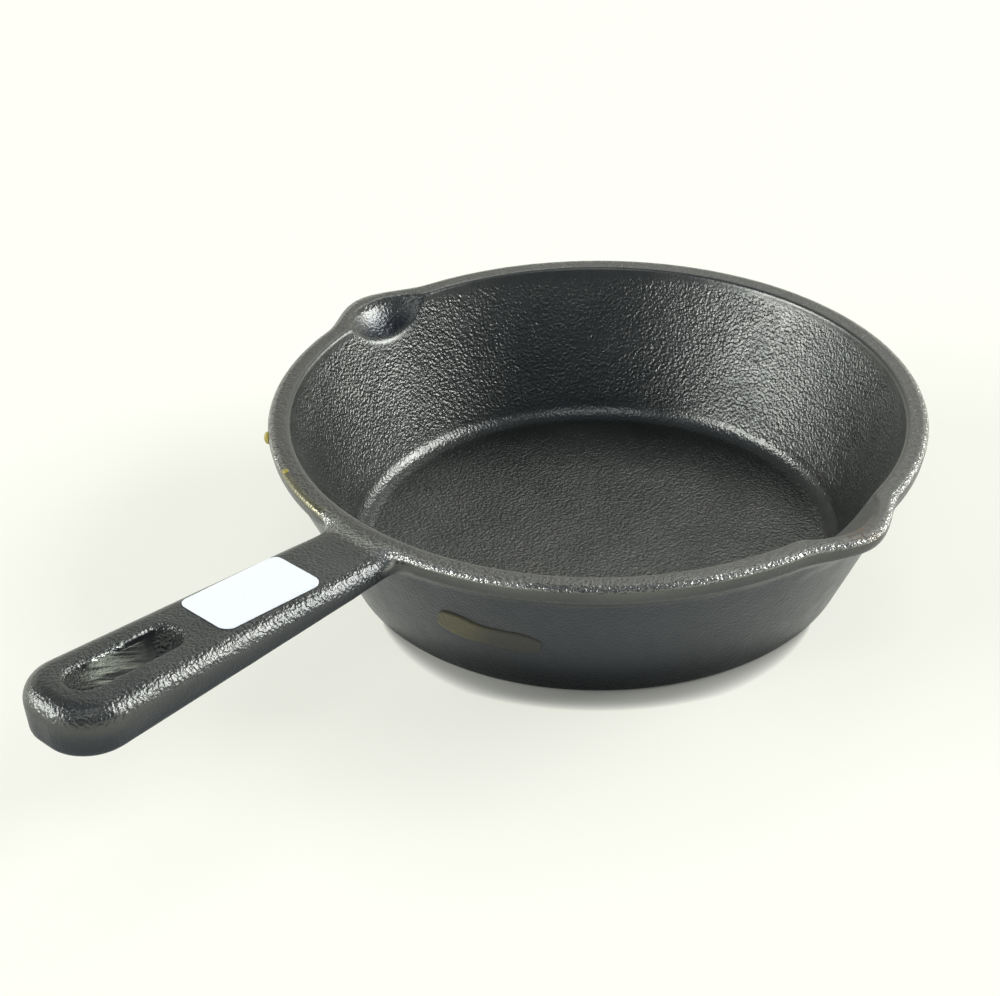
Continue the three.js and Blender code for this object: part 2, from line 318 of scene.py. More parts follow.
def add_node(tree, kind, links=None, out=0, **settings):
    """Adds a node and gives back one of its outputs, or all of them where out is None. Settings are its
    properties; links are its inputs, as values or as sockets to join."""
    node = tree.nodes.new(kind)
    for name, value in settings.items():
        setattr(node, name, value)
    for name, value in (links or {}).items():
        if isinstance(value, bpy.types.NodeSocket):
            tree.links.new(value, node.inputs[name])
        else:
            node.inputs[name].default_value = value
    if out is None or not node.outputs:
        return node.outputs
    return node.outputs[out]


def new_tree(name, sizes):
    """A geometry node tree with a named input for each size, and the outputs of its input node."""
    tree = bpy.data.node_groups.new(name, "GeometryNodeTree")
    for side in ("OUTPUT", "INPUT"):
        tree.interface.new_socket("Geometry", in_out=side, socket_type="NodeSocketGeometry")
    for label, value in sizes.items():
        tree.interface.new_socket(label, in_out="INPUT", socket_type="NodeSocketFloat").default_value = value
    return tree, add_node(tree, "NodeGroupInput", out=None)


def end_tree(tree, geometry, material):
    """Ends a geometry node tree: instances made real, the material set."""
    whole = add_node(tree, "GeometryNodeRealizeInstances", {"Geometry": geometry})
    dressed = add_node(tree, "GeometryNodeSetMaterial", {"Geometry": whole, "Material": material})
    add_node(tree, "NodeGroupOutput", {"Geometry": dressed})
    return tree


def ease(value, low, high):
    """0 below low, 1 above high, smooth between."""
    t = np.clip((np.asarray(value, float) - low) / (high - low), 0, 1)
    return t * t * (3 - 2 * t)


def fade(value, low, high):
    """1 below low, 0 above high, smooth between."""
    return ease(high - value, 0, high - low)


def moved(value, goal, share):
    """A value moved by a share of the way to a goal."""
    return value + (goal - value) * share


def arc(x, y, radius, start, end, steps=12):
    """Points of an arc in the plane, both ends included."""
    angles = np.linspace(start, end, steps + 1)
    return np.c_[x + radius * np.cos(angles), y + radius * np.sin(angles)]


def subdivided(points, step):
    """The same polyline with no span longer than the step."""
    spans = []
    for start, end in zip(points[:-1], points[1:]):
        count = max(1, math.ceil(np.linalg.norm(end - start) / step))
        spans.append(start + (end - start) * np.linspace(0, 1, count, endpoint=False)[:, None])
    return np.concatenate([*spans, points[-1:]])


def new_object(name, points_mm, faces=(), edges=()):
    """A mesh object in the scene from points in millimetres."""
    mesh = bpy.data.meshes.new(name)
    points = (np.asarray(points_mm) * MM).tolist()
    mesh.from_pydata(points, [tuple(edge) for edge in edges], [tuple(face) for face in faces])
    piece = bpy.data.objects.new(name, mesh)
    bpy.context.scene.collection.objects.link(piece)
    return piece


def close_shell(piece, merge=False):
    """Points a piece's faces outwards, after its double points are merged where asked."""
    shell = bmesh.new()
    shell.from_mesh(piece.data)
    if merge:
        bmesh.ops.remove_doubles(shell, verts=shell.verts, dist=DOUBLES_APART * MM)
    bmesh.ops.recalc_face_normals(shell, faces=shell.faces)
    shell.to_mesh(piece.data)
    shell.free()


def settled(piece):
    """Turns a piece with its modifiers into a plain mesh and clears the modifiers."""
    bpy.context.view_layer.update()
    graph = bpy.context.evaluated_depsgraph_get()
    mesh = bpy.data.meshes.new_from_object(piece.evaluated_get(graph))
    piece.modifiers.clear()
    piece.data = mesh
    return piece


def vectors(values, name):
    """The x, y and z of a mesh's points or normals, as three arrays."""
    flat = np.empty(len(values) * 3, np.float32)
    values.foreach_get(name, flat)
    return flat.reshape(-1, 3).T


# Bowl


def outer_profile():
    """Outer side of the bowl as (radius, height), from the middle of the base to the rim's flat top."""
    edge = arc(BASE_RADIUS - BASE_EDGE_ROUND, BASE_EDGE_ROUND, BASE_EDGE_ROUND, -math.pi / 2, -WALL_FLARE)
    band = [(WALL_TOP_RADIUS, WALL_TOP_HEIGHT), (RIM_RADIUS - RIM_BAND_DRAFT, RIM_BAND_FOOT)]
    rim = arc(RIM_RADIUS - RIM_OUTER_ROUND, PAN_HEIGHT - RIM_OUTER_ROUND, RIM_OUTER_ROUND, 0, math.pi / 2)
    return np.concatenate([[(0, 0)], edge, band, rim])


def inner_profile():
    """Inner side of the bowl, from the rim's flat top down the wall to the middle of the floor."""
    wall_top = PAN_HEIGHT - RIM_INNER_ROUND
    flare = math.atan(INNER_SLOPE)
    rim = arc(INNER_TOP_RADIUS + RIM_INNER_ROUND, wall_top, RIM_INNER_ROUND, math.pi / 2, math.pi)
    fillet_radius = INNER_FOOT_RADIUS + FLOOR_FILLET * (math.tan(flare) - 1 / math.cos(flare))
    fillet = arc(fillet_radius, FLOOR_THICKNESS + FLOOR_FILLET, FLOOR_FILLET, -flare, -math.pi / 2)
    return np.concatenate([rim, fillet, [(0, FLOOR_THICKNESS)]])


def inner_radius(height):
    """Radius of the inner wall at a height."""
    return INNER_FOOT_RADIUS + INNER_SLOPE * (height - FLOOR_THICKNESS)


def outer_radius(height):
    """Radius of the outer wall and rim at a height, away from the lips."""
    profile = outer_profile()
    return np.interp(height, profile[:, 1], profile[:, 0])


def from_scoop(x, y, z):
    """Distance of points from the surface of the nearer scoop's ball, positive outside it."""
    from_middle = np.sqrt(x ** 2 + (np.abs(y) - SCOOP_FROM_AXIS) ** 2 + (z - SCOOP_HEIGHT) ** 2)
    return from_middle - SCOOP_RADIUS


def pour_lips_tree(material):
    """Geometry nodes that press the pour lips into the turned bowl: the outer side swells out on both
    sides, and a ball-shaped scoop dips the rim and the inner wall."""
    tree, given = new_tree("pour_lips", {
        "Lip reach": LIP_REACH * MM,
        "Lip half angle": LIP_HALF_ANGLE,
        "Lip foot": LIP_FOOT_HEIGHT * MM,
        "Lip full height": LIP_FULL_HEIGHT * MM,
        "Scoop radius": SCOOP_RADIUS * MM,
        "Scoop from axis": SCOOP_FROM_AXIS * MM,
        "Scoop height": SCOOP_HEIGHT * MM,
        "Edge softness": SCOOP_EDGE_SOFTNESS * MM,
    })
    place = add_node(tree, "GeometryNodeInputPosition")
    axes = add_node(tree, "ShaderNodeSeparateXYZ", {0: place}, out=None)
    aside = add_node(tree, "ShaderNodeMath", {0: axes["X"]}, operation="ABSOLUTE")
    outwards = add_node(tree, "ShaderNodeMath", {0: axes["Y"]}, operation="ABSOLUTE")
    from_ball = add_node(tree, "ShaderNodeMath", {
        0: outwards, 1: given["Scoop from axis"]}, operation="SUBTRACT")
    aside_squared, outwards_squared, from_ball_squared, scoop_squared = (
        add_node(tree, "ShaderNodeMath", {0: length, 1: 2.0}, operation="POWER")
        for length in (aside, outwards, from_ball, given["Scoop radius"]))
    radius_squared = add_node(tree, "ShaderNodeMath", {
        0: aside_squared, 1: outwards_squared}, operation="ADD")
    radius = add_node(tree, "ShaderNodeMath", {0: radius_squared}, operation="SQRT")

    # Swelling of the outer side, strongest in the lip's middle and at the rim
    angle = add_node(tree, "ShaderNodeMath", {0: aside, 1: outwards}, operation="ARCTAN2")
    line = add_node(tree, "ShaderNodeMath", {
        0: axes["Z"], 1: INNER_SLOPE, 2: (INNER_FOOT_RADIUS + LIP_LINE) * MM}, operation="MULTIPLY_ADD")
    past_line = add_node(tree, "ShaderNodeMath", {0: radius, 1: line}, operation="SUBTRACT")
    lobe, raised, outer = (
        add_node(tree, "ShaderNodeMapRange", {
            "Value": value, "From Min": low, "From Max": high, "To Min": at_low, "To Max": at_high,
        }, interpolation_type="SMOOTHSTEP")
        for value, low, high, at_low, at_high in (
            (angle, 0.0, given["Lip half angle"], 1.0, 0.0),
            (axes["Z"], given["Lip foot"], given["Lip full height"], 0.0, 1.0),
            (past_line, LIP_STARTS_AT * MM, LIP_WHOLE_AT * MM, 0.0, 1.0)))
    reach = add_node(tree, "ShaderNodeMath", {0: given["Lip reach"], 1: lobe}, operation="MULTIPLY")
    share = add_node(tree, "ShaderNodeMath", {0: raised, 1: outer}, operation="MULTIPLY")
    swelling = add_node(tree, "ShaderNodeMath", {0: reach, 1: share}, operation="MULTIPLY")
    level = add_node(tree, "ShaderNodeCombineXYZ", {"X": axes["X"], "Y": axes["Y"]})
    away = add_node(tree, "ShaderNodeVectorMath", {0: level}, operation="NORMALIZE")
    push = add_node(tree, "ShaderNodeVectorMath", {0: away, "Scale": swelling}, operation="SCALE")
    swollen = add_node(tree, "GeometryNodeSetPosition", {"Geometry": given["Geometry"], "Offset": push})

    # Ball-shaped scoop: nothing stays above the ball's lower half
    spread = add_node(tree, "ShaderNodeMath", {0: aside_squared, 1: from_ball_squared}, operation="ADD")
    inside = add_node(tree, "ShaderNodeMath", {0: scoop_squared, 1: spread}, operation="SUBTRACT")
    covered = add_node(tree, "ShaderNodeMath", {0: inside, 1: 0.0}, operation="MAXIMUM")
    depth = add_node(tree, "ShaderNodeMath", {0: covered}, operation="SQRT")
    ball = add_node(tree, "ShaderNodeMath", {0: given["Scoop height"], 1: depth}, operation="SUBTRACT")
    lowered = add_node(tree, "ShaderNodeMath", {
        0: axes["Z"], 1: ball, 2: given["Edge softness"]}, operation="SMOOTH_MIN")
    dipped = add_node(tree, "ShaderNodeCombineXYZ", {"X": axes["X"], "Y": axes["Y"], "Z": lowered})
    scooped = add_node(tree, "GeometryNodeSetPosition", {"Geometry": swollen, "Position": dipped})
    return end_tree(tree, scooped, material)


def turned_bowl(material):
    """The bowl, turned from its profile, with the pour lips pressed in."""
    profile = subdivided(np.concatenate([outer_profile(), inner_profile()]), PROFILE_STEP)
    points = np.c_[profile[:, 0], np.zeros(len(profile)), profile[:, 1]]
    steps = np.arange(len(points))
    bowl = new_object("turned_bowl", points, edges=np.c_[steps[:-1], steps[1:]])
    turning = bowl.modifiers.new("turning", "SCREW")
    turning.axis = "Z"
    turning.angle = 2 * math.pi
    turning.steps = TURNING_STEPS
    turning.render_steps = TURNING_STEPS
    turning.use_merge_vertices = True
    turning.merge_threshold = SEAM_APART * MM
    turning.use_normal_calculate = True
    lips = bowl.modifiers.new("pour_lips", "NODES")
    lips.node_group = pour_lips_tree(material)
    return settled(bowl)


# Handle


def handle_half_width(x):
    """Half the handle's width at its widest height, which grows towards the tip."""
    return HANDLE_ROOT_HALF_WIDTH + HANDLE_WIDENING * (x - RIM_RADIUS)


def handle_top(x, y):
    """Height of the handle's flat top: a soft step down from the rim, then a gentle rise outwards."""
    step = HANDLE_STEP * ease(np.hypot(x, y), HANDLE_STEP_FROM, HANDLE_STEP_TO)
    return PAN_HEIGHT - step + HANDLE_RISE * (x - RIM_RADIUS)


def handle_bottom(x):
    """Height of the handle's flat underside."""
    thickness = HANDLE_ROOT_THICKNESS + HANDLE_THICKENING * (x - RIM_RADIUS)
    return PAN_HEIGHT - HANDLE_STEP + HANDLE_RISE * (x - RIM_RADIUS) - thickness


def handle_surface(x, y):
    """Height of the handle's upper surface, its rounded long edges included."""
    past = np.maximum(np.abs(y) - (handle_half_width(x) - HANDLE_TOP_ROUND), 0)
    return handle_top(x, y) - HANDLE_TOP_ROUND + np.sqrt(HANDLE_TOP_ROUND ** 2 - past ** 2)


def handle_side(wall_radius, inset):
    """One side of the handle's plan, from inside the rim to the tip, filleted to a wall of that radius
    and moved in by the inset."""
    taper = math.atan(HANDLE_WIDENING)
    fillet_y = handle_half_width(wall_radius) + HANDLE_ROOT_FILLET
    from_axis = wall_radius + HANDLE_ROOT_FILLET
    fillet_x = math.sqrt(from_axis ** 2 - fillet_y ** 2)
    radius = HANDLE_ROOT_FILLET + inset
    deepest = wall_radius - HANDLE_ROOT_DEPTH
    crossing = (from_axis ** 2 + radius ** 2 - deepest ** 2) / (2 * from_axis * radius)
    start = math.pi + math.atan2(fillet_y, fillet_x) + math.acos(min(1.0, crossing))
    fillet = arc(fillet_x, fillet_y, radius, start, 1.5 * math.pi + taper)
    corner_x = HANDLE_TIP_X - HANDLE_TIP_CORNER
    corner_y = handle_half_width(corner_x) - HANDLE_TIP_CORNER
    corner = arc(corner_x, corner_y, HANDLE_TIP_CORNER - inset, math.pi / 2 + taper, 0, CORNER_STEPS)
    return np.concatenate([fillet, corner])


def mirrored_loft(name, rings, columns):
    """A closed loft through rings. Each ring is one side of an outline that mirrors in Y, with its
    height as a function of x and y. The first and last rings are closed by strips across."""
    points = []
    faces = []

    def add(outline, height):
        first = len(points)
        points.extend(np.c_[outline, height(outline[:, 0], outline[:, 1])])
        return list(range(first, len(points)))

    def across(point):
        shares = np.linspace(-1, 1, columns + 1)
        return np.c_[np.full(columns + 1, point[0]), shares * point[1]]

    loops = []
    for side, height in rings:
        right = side * (1, -1)
        outline = np.concatenate([right, across(side[-1])[1:-1], side[::-1], across(side[0])[-2:0:-1]])
        loops.append(add(outline, height))
    for low, high in zip(loops[:-1], loops[1:]):
        for i, corner in enumerate(low):
            after = (i + 1) % len(low)
            faces.append((corner, low[after], high[after], high[i]))
    for (side, height), turn in ((rings[0], -1), (rings[-1], 1)):
        rows = [add(across(point), height) for point in side]
        for near, far in zip(rows[:-1], rows[1:]):
            for c in range(columns):
                faces.append((near[c], far[c], far[c + 1], near[c + 1])[::turn])
    piece = new_object(name, points, faces)
    close_shell(piece, merge=True)
    return piece


def rounded_rings(side_at, round_radius, top):
    """Rings of a rounded upper edge, from the side up to the top."""
    rings = []
    for turn in np.linspace(0, math.pi / 2, ROUND_STEPS + 1):
        drop = round_radius * (1 - math.sin(turn))
        inset = round_radius * (1 - math.cos(turn))
        rings.append((side_at(drop, inset), lambda x, y, drop=drop: top(x, y) - drop))
    return rings


def slot_side(margin):
    """One side of the hang slot's plan, grown by a margin."""
    radius = SLOT_HALF_WIDTH + margin
    near = arc(SLOT_NEAR_X, 0, radius, math.pi, math.pi / 2, CORNER_STEPS)
    far = arc(SLOT_FAR_X, 0, radius, math.pi / 2, 0, CORNER_STEPS)
    return np.concatenate([near, far])


def handle_with_slot():
    """The handle, lofted up from its underside, with the hang slot cut through it."""
    lowest = handle_bottom(RIM_RADIUS)
    foot = handle_side(outer_radius(lowest), HANDLE_SIDE_DRAFT + HANDLE_BOTTOM_ROUND)
    side = handle_side(outer_radius(lowest + HANDLE_BOTTOM_ROUND), HANDLE_SIDE_DRAFT)
    lower = [
        (foot, lambda x, y: handle_bottom(x)),
        (side, lambda x, y: handle_bottom(x) + HANDLE_BOTTOM_ROUND),
    ]
    upper = rounded_rings(
        lambda drop, inset: handle_side(outer_radius(PAN_HEIGHT - HANDLE_STEP - drop), inset),
        HANDLE_TOP_ROUND, handle_top)
    handle = mirrored_loft("handle", lower + upper, HANDLE_COLUMNS)
    mouth = [
        (slot_side(SLOT_BOTTOM_ROUND), lambda x, y: handle_bottom(x) - SLOT_OVERSHOOT),
        (slot_side(SLOT_BOTTOM_ROUND), lambda x, y: handle_bottom(x)),
        (slot_side(0), lambda x, y: handle_bottom(x) + SLOT_BOTTOM_ROUND),
    ]
    flare = rounded_rings(lambda drop, inset: slot_side(inset), SLOT_TOP_ROUND, handle_top)
    above = [(slot_side(SLOT_TOP_ROUND), lambda x, y: handle_top(x, y) + SLOT_OVERSHOOT)]
    cutter = mirrored_loft("slot", mouth + flare + above, SLOT_COLUMNS)
    cut = handle.modifiers.new("slot", "BOOLEAN")
    cut.operation = "DIFFERENCE"
    cut.solver = "EXACT"
    cut.object = cutter
    settled(handle)
    bpy.data.objects.remove(cutter)
    return handle


# Casting


def sand_skin_tree(material):
    """Geometry nodes that give the casting the slight waviness of a sand mould."""
    sizes = {}
    for name, (length, height) in MOULD_WAVES.items():
        sizes[name + " length"] = length * MM
        sizes[name + " height"] = height * MM
    tree, given = new_tree("sand_skin", sizes)
    total = 0.0
    for name in MOULD_WAVES:
        scale = add_node(tree, "ShaderNodeMath", {0: 1.0, 1: given[name + " length"]}, operation="DIVIDE")
        noise = add_node(tree, "ShaderNodeTexNoise", {"Scale": scale, "Detail": 1.0})
        lift = add_node(tree, "ShaderNodeMath", {0: noise, 1: 0.5}, operation="SUBTRACT")
        total = add_node(tree, "ShaderNodeMath", {
            0: lift, 1: given[name + " height"], 2: total}, operation="MULTIPLY_ADD")
    normal = add_node(tree, "GeometryNodeInputNormal")
    shift = add_node(tree, "ShaderNodeVectorMath", {0: normal, "Scale": total}, operation="SCALE")
    skin = add_node(tree, "GeometryNodeSetPosition", {"Geometry": given["Geometry"], "Offset": shift})
    return end_tree(tree, skin, material)


def soften_joins(casting):
    """Rounds off the handle's root at the rim and the ridge below each scoop, where sand can't hold
    an edge."""
    x, y, z = vectors(casting.data.vertices, "co") / MM
    root = ease(np.hypot(x, y), *ROOT_RADIUS) * ease(x, *ROOT_FROM_X) * fade(x, *ROOT_TO_X)
    root = root * fade(np.abs(y), *ROOT_SIDES_Y) * ease(z, *ROOT_Z)
    below_rim = np.maximum(fade(z, *RIDGE_BELOW_Z), ease(np.abs(x), *RIDGE_ENDS_X))
    ridge = fade(np.abs(from_scoop(x, y, z)), *RIDGE_REACH) * below_rim * fade(np.abs(x), *RIDGE_SIDES_X)
    for name, weights, rounds in (("root", root, ROOT_ROUNDS), ("ridge", ridge, RIDGE_ROUNDS)):
        group = casting.vertex_groups.new(name=name)
        steps = np.round(weights * WEIGHT_STEPS).astype(int)
        for step in range(1, WEIGHT_STEPS + 1):
            group.add(np.flatnonzero(steps == step).tolist(), step / WEIGHT_STEPS, "REPLACE")
        soft = casting.modifiers.new(name, "SMOOTH")
        soft.factor = 0.5
        soft.iterations = rounds
        soft.vertex_group = name
    settled(casting)
    casting.vertex_groups.clear()


def pan_casting(material):
    """Bowl and handle grown into one skin, as one pour of iron."""
    bowl = turned_bowl(material)
    handle = handle_with_slot()
    shell = bmesh.new()
    for part in (bowl, handle):
        shell.from_mesh(part.data)
        bpy.data.objects.remove(part)
    casting = new_object("pan_casting_skin", np.zeros((0, 3)))
    shell.to_mesh(casting.data)
    shell.free()
    grown = casting.modifiers.new("grown_together", "REMESH")
    grown.mode = "VOXEL"
    grown.voxel_size = CASTING_VOXEL * MM
    eased = casting.modifiers.new("eased", "SMOOTH")
    eased.factor = 0.5
    eased.iterations = CASTING_ROUNDS
    settled(casting)
    soften_joins(casting)
    thinned = casting.modifiers.new("thinned", "DECIMATE")
    thinned.ratio = min(1.0, CASTING_TRIANGLES / (2 * len(casting.data.polygons)))
    sand = casting.modifiers.new("sand_skin", "NODES")
    sand.node_group = sand_skin_tree(material)
    settled(casting)
    casting.data.shade_smooth()
    mark_finishes(casting.data)
    return casting


def mark_finishes(mesh):
    """Writes how each spot of the casting is finished, as marks from 0 to 1: grain is the sand's strength
    and may go past 1, dull the lost gloss, outside a darker tone on the outer wall and the handle's flat
    faces, foot a painted shade that darkens the outer wall towards its bottom, rim the brighter metal, the
    rim's outer edge mark the brighter metal rubbed there, held back by painted shade over the rim's front
    middle, film the oil on the rim, slot and filed the hang slot, whose walls are painted darker as shade,
    rust the tinge at a lip."""
    x, y, z = vectors(mesh.vertices, "co") / MM
    facing_x, facing_y, up = vectors(mesh.vertex_normals, "vector")
    radius = np.hypot(x, y)
    azimuth = np.degrees(np.arctan2(y, x))
    outwards = (x * facing_x + y * facing_y) / np.maximum(radius, 1)
    scoop_gap = from_scoop(x, y, z)
    slot_gap = np.hypot(x - np.clip(x, SLOT_NEAR_X, SLOT_FAR_X), y) - SLOT_HALF_WIDTH

    # Places on the bowl and on the handle
    handle = ease(x, *HANDLE_STARTS_X) * fade(np.abs(y), *HANDLE_SIDES_Y)
    bowl = 1 - handle
    inside = fade(radius - inner_radius(z), *INNER_SKIN) * ease(z, *INNER_BOTTOM_Z) * bowl
    floor = inside * fade(z, *FLOOR_TOP_Z)
    fillet = inside * ease(radius, *FILLET_RADIUS) * fade(z, *FILLET_TOP_Z)
    scoop = fade(scoop_gap, *SCOOP_SKIN)
    near_scoop = scoop * ease(y, *NEAR_LIP_Y)
    ridge = fade(np.abs(scoop_gap), *RIDGE_BREADTH) * fade(z, *RIDGE_TOP_Z) * inside
    rim = ease(z, *RIM_Z) * ease(up, *RIM_FACES_UP) * bowl
    rim_top = ease(z, *RIM_TOP_Z) * ease(up, *FACES_UP) * bowl
    rim_edge = ease(outwards, *EDGE_FACES_OUT) * ease(up, *EDGE_FACES_UP) * ease(z, *RIM_EDGE_Z) * bowl
    rim_inner = ease(-outwards, *EDGE_FACES_IN) * rim * (1 - scoop)
    film = rim_edge * ease(azimuth, *FILM_FROM) * fade(azimuth, *FILM_TO)
    # Painted shade: the rim's outer edge is held less bright over the middle of its front
    front_shade = fade(np.abs(azimuth - FRONT_SHADE_MIDDLE), *FRONT_SHADE_SPREAD)
    rounded = ease(up, *HANDLE_ROUND_STARTS) * fade(up, *HANDLE_ROUND_ENDS)
    plain_handle = handle * (1 - rounded)

    # Hang slot: filed flat along its far wall, left rough at both ends. Thinning leaves few points on the
    # flat wall, and the filed mark runs out softly between them
    either_end = np.maximum(ease(x, *SLOT_TIP_END_X), fade(x, *SLOT_BOWL_END_X))
    slot_ends = fade(slot_gap, *SLOT_MOUTH) * either_end
    # Besides its grain, the slot mark darkens the slot's walls as painted shade
    slot = fade(slot_gap, *SLOT_SKIN) * (1 - slot_ends)
    filed = slot * ease(-y, *FILED_SIDE_Y) * ease(x, *FILED_FROM_X) * fade(x, *FILED_TO_X)

    # Grain, from the broad places to the small ones that lie over them
    handle_grain = moved(OUTSIDE_GRAIN, HANDLE_TOP_GRAIN, ease(up, *HANDLE_FLAT))
    grain = OUTSIDE_GRAIN + (WALL_GRAIN - OUTSIDE_GRAIN) * inside + (FLOOR_GRAIN - WALL_GRAIN) * floor
    for goal, share in (
        (FILLET_GRAIN, fillet),
        (moved(RIM_TOP_GRAIN, RIM_EDGE_GRAIN, rim_edge), rim),
        (RIM_INNER_GRAIN, rim_inner),
        (moved(handle_grain, HANDLE_EDGE_GRAIN, rounded), handle),
        (SCOOP_GRAIN, scoop),
        (RIDGE_GRAIN, ridge),
        (SLOT_GRAIN, slot),
        (SLOT_END_GRAIN, slot_ends),
        (WALL_GRAIN, filed),
        (FILM_GRAIN, film),
    ):
        grain = moved(grain, goal, share)

    from_rust = np.hypot(x - RUST_PLACE[0], y - RUST_PLACE[1])
    dull_wall = WALL_DULL * inside * (1 - scoop) * (1 - fillet)
    marks = {
        "grain": grain,
        "dull": np.maximum(np.maximum(near_scoop, HANDLE_DULL * plain_handle), dull_wall),
        "outside": np.maximum(fade(z, *OUTSIDE_TOP_Z) * (1 - inside), HANDLE_DARK * plain_handle),
        # Painted shade, darker towards the bottom of the outer wall
        "foot": FOOT_SHADE_SHARE * fade(z, *FOOT_SHADE_Z) * (1 - inside),
        "rim": np.maximum(rim_top, near_scoop),
        # Rubbed metal on the rim's outer edge, with painted shade over the front middle
        "edge_wear_and_shade": rim_edge * (1 - film) * (1 - FRONT_SHADE_SHARE * front_shade),
        "film": FILM_SHARE * film,
        # The slot mark also carries the painted shade of the slot's walls
        "slot": slot,
        "filed": filed,
        "rust": RUST_SHARE * fade(from_rust, *RUST_SPREAD) * ease(z, *RUST_Z),
    }
    for name, values in marks.items():
        write_mark(mesh, name, values)


def write_mark(mesh, name, values):
    """Writes a value for each point of a mesh, which its material reads by that name."""
    mark = mesh.attributes.new(name, "FLOAT", "POINT")
    mark.data.foreach_set("value", np.asarray(values, np.float32))


# Materials


def new_material(name):
    """A material with an empty node tree, and that tree."""
    material = bpy.data.materials.new(name)
    material.use_nodes = True
    material.node_tree.nodes.clear()
    return material, material.node_tree


def seasoned_iron():
    """Sand-cast iron, seasoned with baked-on oil: a dark blue-grey skin whose grain, just under a
    millimetre, breaks every highlight into sparks. The rim's rubbed outer edge and the filed slot show
    brighter, warmer metal. Painted shade darkens the outer wall towards its bottom and the hang slot's
    walls, and holds the rim's edge back over its front middle."""
    material, tree = new_material("sand-cast seasoned iron")
    where = add_node(tree, "ShaderNodeTexCoord", out="Object")
    marks = {name: add_node(tree, "ShaderNodeAttribute", out="Fac", attribute_name=name)
             for name in FINISHES}

    # Patterns with their size and detail; the file strokes are drawn out along their slant
    slanted = add_node(tree, "ShaderNodeMapping", {"Vector": where, "Rotation": (0.0, STROKE_SLANT, 0.0)})
    drawn_out = add_node(tree, "ShaderNodeMapping", {
        "Vector": slanted, "Scale": (STROKE_STRETCH, 1.0, 1.0)})
    patches, gloss, specks, sand, strokes = (
        add_node(tree, "ShaderNodeTexNoise", {"Vector": vector, "Scale": 1 / (size * MM), "Detail": detail})
        for vector, size, detail in (
            (where, PATCH_SIZE, 3.0),
            (where, GLOSS_SIZE, 2.0),
            (where, SPECK_SIZE, 3.0),
            (where, SAND_SIZE, 1.0),
            (drawn_out, STROKE_SIZE, 2.0)))
    patchy, rusty, scratched = (
        add_node(tree, "ShaderNodeMapRange", {"Value": pattern, "From Min": low, "From Max": high})
        for pattern, low, high in ((patches, 0.35, 0.65), (specks, 0.42, 0.62), (strokes, 0.4, 0.54)))
    rust = add_node(tree, "ShaderNodeMath", {0: marks["rust"], 1: rusty}, operation="MULTIPLY")
    bare = add_node(tree, "ShaderNodeMath", {0: marks["filed"], 1: scratched}, operation="MULTIPLY")

    # Colour: thicker and thinner seasoning below, then the finishes and the painted shades over it. Inputs 6
    # and 7 and output 2 of a Mix node are its colours
    colour = linear("5c5e5b")
    for share, over in (
        (patchy, "666764"),
        (marks["outside"], "3b3f44"),
        # Painted shade: the outer wall darkens towards its bottom, standing in for the floor's shadow that it
        # reflects
        (marks["foot"], "1f252b"),
        (marks["rim"], "6b6c69"),
        # Brighter metal rubbed on the rim's outer edge, held back by painted shade over the rim's front
        # middle
        (marks["edge_wear_and_shade"], "979893"),
        (marks["film"], "a39e7e"),
        (rust, "7a5236"),
        # Painted shade: the hang slot's walls are darker, as shade inside the recess
        (marks["slot"], "404244"),
        (bare, "aeb3aa"),
    ):
        colour = add_node(tree, "ShaderNodeMix", {
            0: share, 6: colour, 7: linear(over)}, out=2, data_type="RGBA")

    # Gloss: seasoning is satin, and dull where hands and pouring have worn it
    satin = add_node(tree, "ShaderNodeMapRange", {
        "Value": gloss, "From Min": 0.3, "From Max": 0.7,
        "To Min": IRON_ROUGHNESS[0], "To Max": IRON_ROUGHNESS[1]})
    roughness = add_node(tree, "ShaderNodeMath", {
        0: marks["dull"], 1: DULL_ROUGHNESS, 2: satin}, operation="MULTIPLY_ADD")

    # Grain: the print of the moulding sand, and the file's strokes
    level = add_node(tree, "ShaderNodeMath", {0: sand, 1: 0.5}, operation="SUBTRACT")
    print_height = add_node(tree, "ShaderNodeMath", {0: level, 1: marks["grain"]}, operation="MULTIPLY")
    filed = add_node(tree, "ShaderNodeMath", {0: marks["filed"], 1: strokes}, operation="MULTIPLY")
    height = add_node(tree, "ShaderNodeMath", {
        0: filed, 1: STROKE_DEPTH, 2: print_height}, operation="MULTIPLY_ADD")
    bump = add_node(tree, "ShaderNodeBump", {"Strength": 1.0, "Distance": SAND_DEPTH * MM, "Height": height})
    shader = add_node(tree, "ShaderNodeBsdfPrincipled", {
        "Base Color": colour, "Metallic": IRON_METALLIC, "Roughness": roughness, "Normal": bump})
    add_node(tree, "ShaderNodeOutputMaterial", {"Surface": shader})
    return material


def label_paper():
    """Uncoated label paper: matt cool white with a faint fibre mottle, drawn coarser than real fibres
    so that it shows."""
    material, tree = new_material("uncoated label paper")
    where = add_node(tree, "ShaderNodeTexCoord", out="Object")
    fibres = add_node(tree, "ShaderNodeTexNoise", {
        "Vector": where, "Scale": 1 / (FIBRE_SIZE * MM), "Detail": 3.0})
    colour = add_node(tree, "ShaderNodeMix", {
        0: fibres, 6: linear("eaf1f5"), 7: linear("f7fbfd")}, out=2, data_type="RGBA")
    shader = add_node(tree, "ShaderNodeBsdfPrincipled", {"Base Color": colour, "Roughness": PAPER_ROUGHNESS})
    add_node(tree, "ShaderNodeOutputMaterial", {"Surface": shader})
    return material


